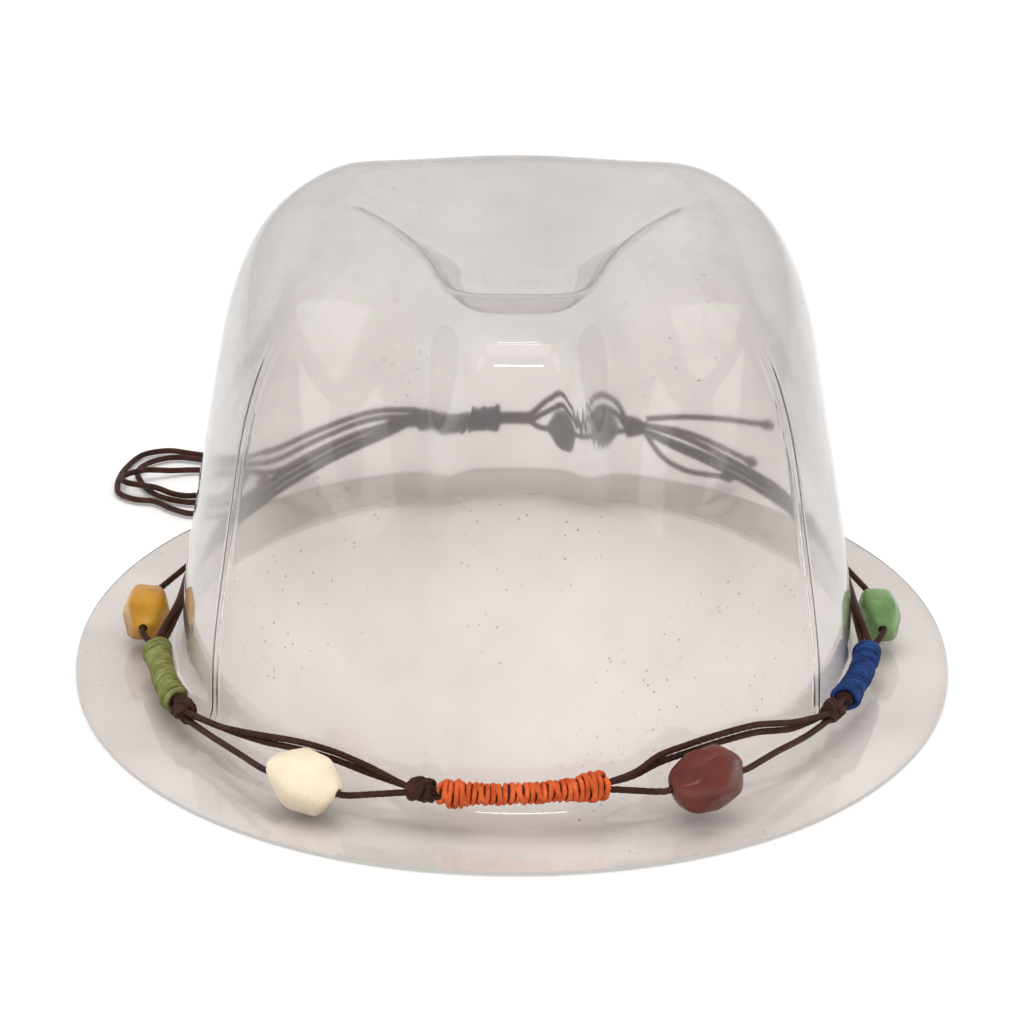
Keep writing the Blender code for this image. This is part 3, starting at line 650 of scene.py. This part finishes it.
def smooth_step(value, low, high):
    t = np.clip((value - low) / (high - low), 0.0, 1.0)
    return t * t * (3.0 - 2.0 * t)


def ridge_half_width(y):
    """Half the distance between the two ridges that run back from the nose and flare to the sides."""
    flare = RIDGE_FLARE * np.exp((y - RIDGE_FLARE_FROM) / RIDGE_FLARE_OVER)
    return NOSE_HALF_WIDTH + RIDGE_SPREAD * (y - NOSE_FRONT) + flare


def dent_height(x, y):
    """The crown's top: level ridges with a teardrop dent between them, running out over the back."""
    half = np.clip(ridge_half_width(y) - 1.0, 1.0, DENT_HALF_WIDTH)
    across = np.maximum(1.0 - (x / half) ** DENT_FLATNESS, 0.0) ** DENT_SOFTNESS
    shallower = (DENT_DEPTH_AT_BACK - DENT_DEPTH) * smooth_step(y, DENT_BACK_FIRST, DENT_BACK_LAST)
    run_in = smooth_step(y, DENT_FRONT, DENT_FRONT + DENT_RUN_IN)
    return CROWN_HEIGHT - (DENT_DEPTH + shallower) * run_in * across


def face_height(x, y):
    """The sloping faces on both sides of the nose, which rise against its flanks."""
    along = np.clip((FACE_TOP_BACK - y) / FACE_LENGTH, 0.0, 1.0)
    floor = CROWN_HEIGHT * (1.0 - along**FACE_STEEPNESS) ** (1.0 / FACE_ROUNDNESS)
    flank = np.minimum(np.exp(-(np.abs(x) - ridge_half_width(y)) / FLANK), FLANK_MOST)
    return floor + (CROWN_HEIGHT - floor) * flank


def crown_heights(x, y, wall):
    """The crown's outer surface over these points, where the foot of its wall is this far out."""
    dent, face = dent_height(x, y), face_height(x, y)
    near = np.maximum(CREASE_BLEND - np.abs(dent - face), 0.0) / CREASE_BLEND
    top = np.minimum(dent, face) - near**2 * CREASE_BLEND / 4.0
    at_front = 1.0 - smooth_step(y, NOSE_FADE_FRONT, NOSE_FADE_BACK)
    at_nose = at_front * (1.0 - smooth_step(np.abs(x), NOSE_FADE_IN, NOSE_FADE_OUT))
    wide = SHOULDER_WIDE + (NOSE_EDGE_WIDE - SHOULDER_WIDE) * at_nose
    tall = SHOULDER_TALL + (NOSE_EDGE_TALL - SHOULDER_TALL) * at_nose
    inset = wall - np.hypot(x, y)
    low, high = np.zeros_like(x), top.copy()
    for _ in range(HEIGHT_HALVINGS):
        height = (low + high) / 2.0
        rise = np.clip((height - top + tall) / tall, 0.0, 1.0)
        under = inset_at(height) + wide * (1.0 - np.sqrt(1.0 - rise**2)) < inset
        low, high = np.where(under, height, low), np.where(under, high, height)
    return np.where(inset >= inset_at(top) + wide, top, low)


def crown_line(way_x, way_y, wall):
    """Radius and height up the wall and over the top, evenly spaced, in one direction."""
    start = wall - wall_inset(SHEET + FILLET)
    shares = np.linspace(0.0, 1.0, CROWN_STEPS + 1)[1:]
    radius = np.maximum(start * (1.0 - shares**2), MIDDLE_RADIUS)
    height = np.maximum(crown_heights(way_x * radius, way_y * radius, wall), SHEET + FILLET)
    cut = np.maximum(wall - inset_at(height) - radius, 0.0)
    radius = radius + cut * (1.0 - smooth_step(height, FACE_FADE_LOW, FACE_FADE_HIGH))
    radius, height = np.append(start, radius), np.append(SHEET + FILLET, height)
    length = np.append(0.0, np.cumsum(np.hypot(np.diff(radius), np.diff(height))))
    wanted = np.linspace(0.0, length[-1], CROWN_ROWS + 1)[1:]
    return np.interp(wanted, length, radius), np.interp(wanted, length, height)


def fine_profile(angle):
    """Points from the brim's edge to the crown's middle, in one direction."""
    edge_x, edge_y = oval_point(angle, BRIM_HALF_WIDTH, BRIM_HALF_DEPTH)
    edge = math.hypot(edge_x - CROWN_SHIFT, edge_y)
    way_x, way_y = (edge_x - CROWN_SHIFT) / edge, edge_y / edge
    wall = oval_radius(way_x, way_y, BASE_HALF_WIDTH, BASE_HALF_DEPTH)
    fillet_middle = wall - wall_inset(SHEET + FILLET) + FILLET
    brim = np.linspace(edge, fillet_middle, BRIM_ROWS, endpoint=False)
    turn = np.linspace(0.0, math.pi / 2.0, FILLET_ROWS + 1)
    crown_radius, crown_height = crown_line(way_x, way_y, wall)
    radius = np.concatenate([brim, fillet_middle - FILLET * np.sin(turn), crown_radius])
    height = np.concatenate([np.full(BRIM_ROWS, SHEET), SHEET + FILLET * (1.0 - np.cos(turn)), crown_height])
    return np.stack([CROWN_SHIFT + way_x * radius, way_y * radius, height], axis=1)[:-1]


def from_rib(angle):
    """How many degrees this angle is from the middle of the nearer rib."""
    return abs(abs((angle + 180.0) % 360.0 - 180.0) - RIB_ANGLE)


def rib_height(angle, height):
    """How far the narrow upright rib on each side stands out from the wall."""
    rib = RIB_HEIGHT * (1.0 - smooth_step(from_rib(angle), RIB_HALF - RIB_SOFT, RIB_HALF + RIB_SOFT))
    return rib * smooth_step(height, *RIB_FOOT) * (1.0 - smooth_step(height, *RIB_TOP))


def form_angles():
    """The directions of the surface's columns: closer together at the front, and closest at the ribs."""
    turns = [360.0 * column / SURFACE_COLUMNS for column in range(SURFACE_COLUMNS)]
    angles = [turn - FRONT_CROWDING * math.sin(math.radians(turn)) for turn in turns]
    steps = range(-RIB_STEPS, RIB_STEPS + 1)
    ribs = [(side * RIB_ANGLE + step * RIB_STEP) % 360.0 for side in (-1, 1) for step in steps]
    return sorted([*(angle for angle in angles if from_rib(angle) > RIB_CLEAR), *ribs])


def softened(grid):
    """The grid with the crown's creases averaged out a little. The brim and the foot stay as they are."""
    foot = BRIM_ROWS + FILLET_ROWS
    rows = np.arange(grid.shape[1])
    share = smooth_step(rows, foot + SOFTEN_FROM_ROW, foot + SOFTEN_FULL_ROW)[None, :, None]
    for _ in range(SOFTENING):
        around = (np.roll(grid, 1, axis=0) + np.roll(grid, -1, axis=0)) / 2.0
        along = grid.copy()
        along[:, 1:-1] = (grid[:, 2:] + grid[:, :-2]) / 2.0
        grid = grid + share * ((around + along) / 2.0 - grid) * SOFTENING_SHARE
    return grid


def make_form(material, rim):
    """The form as one fine sheet, with its ribs and a plain cut edge."""
    angles = form_angles()
    grid = softened(np.array([fine_profile(angle) for angle in angles]))
    columns, rows = grid.shape[:2]
    ways = grid[:, :, :2] - (CROWN_SHIFT, 0.0)
    ways /= np.maximum(np.linalg.norm(ways, axis=2, keepdims=True), 1e-6)
    ribs = np.array([rib_height(angle, column[:, 2]) for angle, column in zip(angles, grid)])
    grid[:, :, :2] += ways * ribs[:, :, None]
    points = [tuple(point) for point in grid.reshape(-1, 3) * MM]
    points.append((CROWN_SHIFT * MM, 0.0, (CROWN_HEIGHT - DENT_DEPTH) * MM))
    faces = []
    for column in range(columns):
        here, there = column * rows, (column + 1) % columns * rows
        faces += [(here + row, there + row, there + row + 1, here + row + 1) for row in range(rows - 1)]
        faces.append((here + rows - 1, there + rows - 1, len(points) - 1))
    mesh = bpy.data.meshes.new("form_sheet")
    mesh.from_pydata(points, [], faces)
    mesh.shade_smooth()
    mesh.materials.append(material)
    mesh.materials.append(rim)
    form = linked("form_sheet", mesh)
    sheet = form.modifiers.new("thickness", "SOLIDIFY")
    sheet.thickness = SHEET * MM
    sheet.offset = -1.0
    sheet.material_offset_rim = 1
    edges = form.modifiers.new("hard edges", "EDGE_SPLIT")
    edges.split_angle = math.radians(HARD_EDGE)
    stand_in(form, "form", "hat_form")


# ---------------------------------------------------------------- cords, wraps and knots


def sweep(name, route, radius, material, sides=10, pitch=None, closed=False, taper=None):
    """A tube along a route, with the lobes of twisted plies where it has a pitch."""
    count = len(route)
    points, faces = [], []
    normal = UP
    travelled = 0.0
    for index, place in enumerate(route):
        before = route[index - 1] if index or closed else place
        after = route[(index + 1) % count] if index + 1 < count or closed else place
        along = (after - before).normalized()
        normal = (normal - along * normal.dot(along)).normalized()
        side = along.cross(normal)
        if index:
            travelled += (place - route[index - 1]).length
        size = radius * (taper(index / (count - 1)) if taper else 1.0)
        for corner in range(sides):
            turn = 2.0 * math.pi * corner / sides
            lobe = 1.0
            if pitch:
                lobe += PLY_DEPTH * math.cos(PLIES * (turn - 2.0 * math.pi * travelled / pitch))
            points.append((place + (normal * math.cos(turn) + side * math.sin(turn)) * size * lobe) * MM)
    for index in range(count if closed else count - 1):
        here, there = index * sides, (index + 1) % count * sides
        for corner in range(sides):
            following = (corner + 1) % sides
            faces.append((here + corner, here + following, there + following, there + corner))
    if not closed:
        faces.append(tuple(range(sides))[::-1])
        faces.append(tuple((count - 1) * sides + corner for corner in range(sides)))
    mesh = bpy.data.meshes.new(name)
    mesh.from_pydata(points, [], faces)
    mesh.materials.append(material)
    mesh.shade_smooth()
    return linked(name, mesh)


def joined(name, objects):
    """One object of several, each with its own material."""
    shape = bmesh.new()
    mesh = bpy.data.meshes.new(name)
    for obj in objects:
        material = obj.data.materials[0]
        if material.name not in mesh.materials:
            mesh.materials.append(material)
        before = len(shape.faces)
        shape.from_mesh(obj.data)
        shape.faces.ensure_lookup_table()
        for face in shape.faces[before:]:
            face.material_index = mesh.materials.find(material.name)
    shape.to_mesh(mesh)
    shape.free()
    for obj in objects:
        bpy.data.objects.remove(obj, do_unlink=True)
    return linked(name, mesh)


def at_width(widths, share):
    """The width at this share of the way along."""
    place = share * (len(widths) - 1)
    index = min(int(place), len(widths) - 2)
    return widths[index] + (widths[index + 1] - widths[index]) * (place - index)


# name: thread radius, pitch, slant along the wrap, unevenness, body, material slot
WINDINGS = {
    "wrap_olive": (0.78, 2.15, 1.2, 0.9, "band", "olive_thread"),
    "wrap_orange": (0.62, 1.5, 0.5, 0.8, "band", "orange_thread"),
    "wrap_blue": (0.78, 2.1, 1.2, 0.9, "band", "blue_thread"),
    "closure_wrap": (0.75, 1.9, 0.6, 0.7, "closure", "navy_thread"),
}
# The two layers of a winding: which way it turns, how deep it sinks in, how much of the turns it has
# and how far it is lifted.
LAYERS = ((1.0, 0.0, 1.0, 0.0), (-1.0, 0.25, 0.34, 0.25))
TURN_STEPS = 20
WOUND_FROM, WOUND_LENGTH = 0.02, 0.96
# How much the uneven turns move along the wrap and out from it, and how often they do so in a lap.
UNEVEN_ALONG, UNEVEN_OUT = 0.004, 0.16
SLOW_WAVE, QUICK_WAVE, SLOW_SHARE = 2.9, 7.3, 0.6
LAP = 6.28
CORE_STEPS = 24
CORE_SPARE = 0.3

# A knot's loops: how far out they run, how much they weave in and out and along, as shares of its size.
LOOP_STEPS = 96
LOOP_REACH, LOOP_WEAVE, LOOP_DEPTH = 0.66, 0.21, 0.52
LOOP_CROSSINGS = 1.5
LOOP_SWELL, SWELL_WAVE, LEAD_SHARE = 0.1, 1.7, 0.4
# A knot of the band: where its two tangles are, their size and cord, and the core's share of its radius.
TANGLES_AT, TANGLE_SIZE, TANGLE_CORD, KNOT_CORE = (0.36, 0.64), 1.08, 0.95, 0.74
LEAD_STEP = 1.3
# The knots in the ends of the orange thread: share of the wrap's length, and radius.
ORANGE_END_KNOTS = ((0.04, 3.5), (0.95, 3.9))
BAND_KNOTS = ("knot_left", "knot_front", "knot_right", "knot_back_right", "knot_back_left")


def wound_route(name, layer):
    """The route of one layer of thread round its sleeve, with uneven turns."""
    thread, pitch, slant, wobble = WINDINGS[name][:4]
    radius, widths = radius_and_widths(name)
    way, sink, part, lift = LAYERS[layer]
    first, last = (sleeve_frame(name, share)[0] for share in (0.0, 1.0))
    turns = (last - first).length / pitch
    count = int(turns * part * TURN_STEPS)
    route = []
    for index in range(count + 1):
        t = index / count
        turn = way * 2.0 * math.pi * turns * part * t + layer
        quick = math.sin(QUICK_WAVE * turn / LAP + layer)
        uneven = wobble * (quick + SLOW_SHARE * math.sin(SLOW_WAVE * turn / LAP + 1.0))
        lean = slant * math.cos(turn) / max(turns * pitch, 1.0)
        share = min(max(WOUND_FROM + WOUND_LENGTH * t + lean + UNEVEN_ALONG * uneven, 0.0), 1.0)
        place, out, up = sleeve_frame(name, share)
        reach = radius * at_width(widths, share) - thread * (1.0 + sink) + UNEVEN_OUT * uneven + lift
        route.append(place + (out * math.cos(turn) + up * math.sin(turn)) * reach)
    return route


def knotted(name, frame_there, size, cord, material, lead=0.0):
    """A knot: a cord that loops twice round its middle and crosses over itself."""
    middle, out, up = frame_there
    along = up.cross(out)
    route = []
    for index in range(LOOP_STEPS):
        turn = 4.0 * math.pi * index / LOOP_STEPS
        swell = 1.0 + LOOP_SWELL * math.sin(SWELL_WAVE * turn + lead)
        reach = (size - cord) * LOOP_REACH * swell + LOOP_WEAVE * size * math.cos(LOOP_CROSSINGS * turn)
        place = middle + (out * math.cos(turn) + up * math.sin(turn)) * reach
        weave = math.sin(LOOP_CROSSINGS * turn + LEAD_SHARE * lead)
        route.append(place + along * size * LOOP_DEPTH * weave)
    return sweep(name, route, cord, material, pitch=KNOT_PITCH, closed=True)


def sleeve_core(name, radius, widths, material):
    """The bundle inside a wrap or a knot, which shows between its turns."""
    route = [sleeve_frame(name, step / CORE_STEPS)[0] for step in range(CORE_STEPS + 1)]
    return sweep(name + "_core", route, radius, material, sides=16, taper=lambda t: at_width(widths, t))


def make_strand(name, points, cord):
    """One of the three twisted cords that go all the way round."""
    route = smooth_route(smooth_route(points, STRAND_STEP, closed=True), FINE_STRAND_STEP, closed=True)
    strand = sweep(name + "_cord", route, CORD_RADIUS, cord, sides=12, pitch=STRAND_PITCH, closed=True)
    stand_in(strand, "band", name)


def make_winding(name, cord, thread_material):
    """A wrap of thread over the cords, with loose turns over it."""
    thread, _, _, _, body, slot = WINDINGS[name]
    radius, widths = radius_and_widths(name)
    parts = []
    for layer in range(len(LAYERS)):
        route = wound_route(name, layer)
        parts.append(sweep(f"{name}_{layer}", route, thread, thread_material, sides=8, pitch=THREAD_PITCH))
    parts.append(sleeve_core(name, radius - 2.0 * thread + CORE_SPARE, widths, cord))
    if name == "wrap_orange":
        for share, size in ORANGE_END_KNOTS:
            there = sleeve_frame(name, share)
            parts.append(knotted(name + "_end", there, size, thread, thread_material, lead=2.0 * share))
    stand_in(joined(name + "_winding", parts), body, name)


def make_knot(name, lead, cord):
    """A knot round the three cords: two tangles of looped cord over a core."""
    radius, widths = radius_and_widths(name)
    parts = []
    for part, share in enumerate(TANGLES_AT):
        there = sleeve_frame(name, share)
        size = radius * TANGLE_SIZE
        parts.append(knotted(f"{name}_{part}", there, size, TANGLE_CORD, cord, lead=lead + part))
    parts.append(sleeve_core(name, radius * KNOT_CORE, widths, cord))
    stand_in(joined(name + "_tied", parts), "band", name)


def make_band(cord, threads):
    """The strands, the wraps and the knots."""
    make_strand("strand_main", main_strand(), cord)
    make_strand("strand_upper", upper_strand(), cord)
    make_strand("strand_inner", inner_strand(), cord)
    for name in WINDINGS:
        make_winding(name, cord, threads[name])
    for turn, name in enumerate(BAND_KNOTS):
        make_knot(name, LEAD_STEP * turn, cord)


# ---------------------------------------------------------------- free tails


def make_tail_curve(name, route, material):
    """A free cord as a curve."""
    curve = bpy.data.curves.new(name + "_cord", "CURVE")
    curve.dimensions = "3D"
    curve.bevel_depth = CORD_RADIUS * MM
    curve.bevel_resolution = 3
    curve.use_fill_caps = True
    fine = smooth_route(route, FINE_TAIL_STEP)
    spline = curve.splines.new("POLY")
    spline.points.add(len(fine) - 1)
    for point, place in zip(spline.points, fine):
        point.co = (*(place * MM), 1.0)
    spline.use_smooth = True
    curve.materials.append(material)
    return linked(name + "_cord", curve)


def end_core_radius(share):
    """The core's radius at this share of its length: thickest in the middle."""
    return END_CORE_RADIUS + END_CORE_BULGE * math.sin(math.pi * share)


def make_end_knot(name, route, material):
    """The stopper knot past the end of a free cord, lifted clear of the table."""
    way = (route[-1] - route[-2]).normalized()
    lift = max(END_KNOT_RADIUS * max(KNOT) + END_KNOT_SPARE - route[-1].z, 0.0)
    middle = route[-1] + way * (GAP + END_KNOT_LENGTH / 2.0) + UP * lift
    out = way.cross(UP).normalized()
    up = out.cross(way).normalized()
    steps = range(END_CORE_STEPS + 1)
    core = [middle + way * END_KNOT_LENGTH * (step / END_CORE_STEPS - 0.5) for step in steps]
    there = (middle, out, up)
    loop = knotted(name + "_loop", there, END_KNOT_RADIUS, END_KNOT_CORD, material, lead=len(name))
    bulge = sweep(name + "_core", core, 1.0, material, taper=end_core_radius)
    return joined(name + "_end", [loop, bulge])


def make_tail(name, material):
    """A free cord and the knot that stops its end."""
    route = smooth_route([Vector(point) for point in TAILS[name]], TAIL_STEP)
    tail = make_tail_curve(name, route, material)
    knot = make_end_knot(name, route, material)
    stand_in(tail, "band", name)
    stand_in(knot, "band", name + "_knot")


# ---------------------------------------------------------------- beads


def nugget_mesh(name, material):
    """The hull of the bead's corners, with its nearly flat triangles made into faces."""
    half_length, half_depth, half_height, corners = BEADS[name][1:]
    shape = bmesh.new()
    for along, out, up in corners:
        shape.verts.new(Vector((along * half_length, out * half_depth, up * half_height)) * MM)
    bmesh.ops.convex_hull(shape, input=shape.verts)
    flat = math.radians(FLAT_FACE)
    bmesh.ops.dissolve_limit(shape, angle_limit=flat, verts=shape.verts, edges=shape.edges)
    bmesh.ops.recalc_face_normals(shape, faces=shape.faces)
    mesh = bpy.data.meshes.new(name + "_nugget")
    shape.to_mesh(mesh)
    shape.free()
    mesh.materials.append(material)
    return mesh


def make_drill(name, place):
    """The rod that is taken out of the bead, along its length."""
    drill = bmesh.new()
    bmesh.ops.create_cone(
        drill,
        cap_ends=True,
        segments=24,
        radius1=BEAD_BORE * MM,
        radius2=BEAD_BORE * MM,
        depth=3.0 * BEADS[name][1] * MM,
        matrix=Matrix.Rotation(math.pi / 2.0, 4, "Y"),
    )
    mesh = bpy.data.meshes.new(name + "_drill")
    drill.to_mesh(mesh)
    drill.free()
    cutter = linked(name + "_drill", mesh)
    cutter.matrix_world = place
    return cutter


def make_bead(name, material):
    """A chunky nugget with soft edges and a hole drilled along it."""
    middle, along, out, up = bead_axes(name)
    place = Matrix.Translation(middle * MM) @ Matrix((along, out, up)).transposed().to_4x4()
    bead = linked(name + "_nugget", nugget_mesh(name, material))
    bead.matrix_world = place
    edges = bead.modifiers.new("soft edges", "BEVEL")
    edges.width = BEAD_ROUNDING * MM
    edges.segments = 4
    hole = bead.modifiers.new("bore", "BOOLEAN")
    hole.solver = "EXACT"
    hole.object = make_drill(name, place)
    bpy.context.view_layer.update()
    finished = bead.evaluated_get(bpy.context.evaluated_depsgraph_get())
    mesh = bpy.data.meshes.new_from_object(finished)
    bpy.data.objects.remove(hole.object, do_unlink=True)
    bead.modifiers.clear()
    bead.data = mesh
    mesh.shade_smooth()
    mesh.set_sharp_from_angle(angle=math.radians(HARD_EDGE))
    stand_in(bead, name, name)


# ---------------------------------------------------------------- floor and light


# Area lights over the form: place, width, depth, power, and whether they show in glossy surfaces.
LIGHTS = {
    "top": ((0.0, -0.1, 1.9), 1.4, 1.4, 12.0, False),
    "left": ((-1.1, -0.7, 0.95), 0.5, 0.9, 3.4, False),
    "right": ((1.1, -0.6, 0.95), 0.5, 0.9, 3.4, False),
    "front": ((0.0, -1.5, 1.25), 1.0, 0.12, 3.6, True),
    "strip": ((0.0, 0.45, 1.5), 0.28, 0.05, 0.5, True),
}
LIGHT_AIM = Vector((0.0, 0.0, 0.03))
FLOOR_RADIUS, FLOOR_DROP = 4.0, 0.0004
WORLD_COLOUR, WORLD_STRENGTH = (1.0, 0.995, 0.985, 1.0), 0.73


def make_floor():
    """A plain pale floor, just under the brim."""
    bpy.ops.mesh.primitive_circle_add(
        vertices=96, radius=FLOOR_RADIUS, fill_type="NGON", location=(0.0, 0.0, -FLOOR_DROP)
    )
    floor = bpy.context.object
    floor.name = "floor"
    white, shader = new_material("floor_white", (0.94, 0.935, 0.93), 0.85)
    shader.inputs["Specular IOR Level"].default_value = 0.1
    floor.data.materials.append(white)


def make_light(name):
    """A rectangular light that faces the form."""
    place, width, depth, power, in_gloss = LIGHTS[name]
    data = bpy.data.lights.new(name, "AREA")
    data.shape = "RECTANGLE"
    data.size, data.size_y = width, depth
    data.energy = power
    light = linked(name, data)
    light.location = place
    light.rotation_euler = (LIGHT_AIM - Vector(place)).to_track_quat("-Z", "Y").to_euler()
    light.visible_glossy = in_gloss


def make_studio():
    """The floor, the lights and an even, nearly white surrounding."""
    scene = bpy.context.scene
    scene.view_settings.view_transform = "Standard"
    make_floor()
    scene.world = bpy.data.worlds.new("studio")
    scene.world.use_nodes = True
    background = scene.world.node_tree.nodes["Background"]
    background.inputs["Color"].default_value = WORLD_COLOUR
    background.inputs["Strength"].default_value = WORLD_STRENGTH
    for name in LIGHTS:
        make_light(name)


def thread_materials():
    return {
        "wrap_olive": cord_material("olive_cord", (0.13, 0.14, 0.035), (0.33, 0.35, 0.12), 0.65),
        "wrap_orange": cord_material("orange_cord", (0.5, 0.07, 0.015), (0.88, 0.17, 0.045), 0.6),
        "wrap_blue": cord_material("blue_cord", (0.004, 0.016, 0.08), (0.016, 0.065, 0.25), 0.6),
        "closure_wrap": cord_material("navy_cord", (0.004, 0.006, 0.02), (0.02, 0.025, 0.06), 0.6),
    }


# name: material slot, dark colour, light colour, roughness, gloss
RESINS = {
    "bead_yellow": ("yellow_resin", (0.4, 0.17, 0.008), (0.6, 0.31, 0.018), 0.2, 0.4),
    "bead_cream": ("cream_resin", (0.86, 0.72, 0.53), (0.9, 0.77, 0.59), 0.16, 0.5),
    "bead_red_brown": ("red_brown_resin", (0.09, 0.012, 0.007), (0.15, 0.024, 0.013), 0.1, 0.45),
    "bead_green": ("green_resin", (0.1, 0.2, 0.06), (0.2, 0.35, 0.12), 0.2, 0.4),
    "bead_grey": ("grey_resin", (0.1, 0.12, 0.13), (0.17, 0.19, 0.21), 0.25, 0.4),
}


def main():
    make_camera()
    cord = cord_material("waxed_cotton", (0.02, 0.006, 0.004), (0.065, 0.02, 0.012))
    for name in TAILS:
        make_tail(name, cord)
    make_band(cord, thread_materials())
    for name, (slot, *look) in RESINS.items():
        make_bead(name, resin_material(slot, *look))
    edge, _ = new_material("cut_edge", (0.5, 0.49, 0.48), 0.4)
    make_form(plastic_material(), edge)
    make_studio()


main()
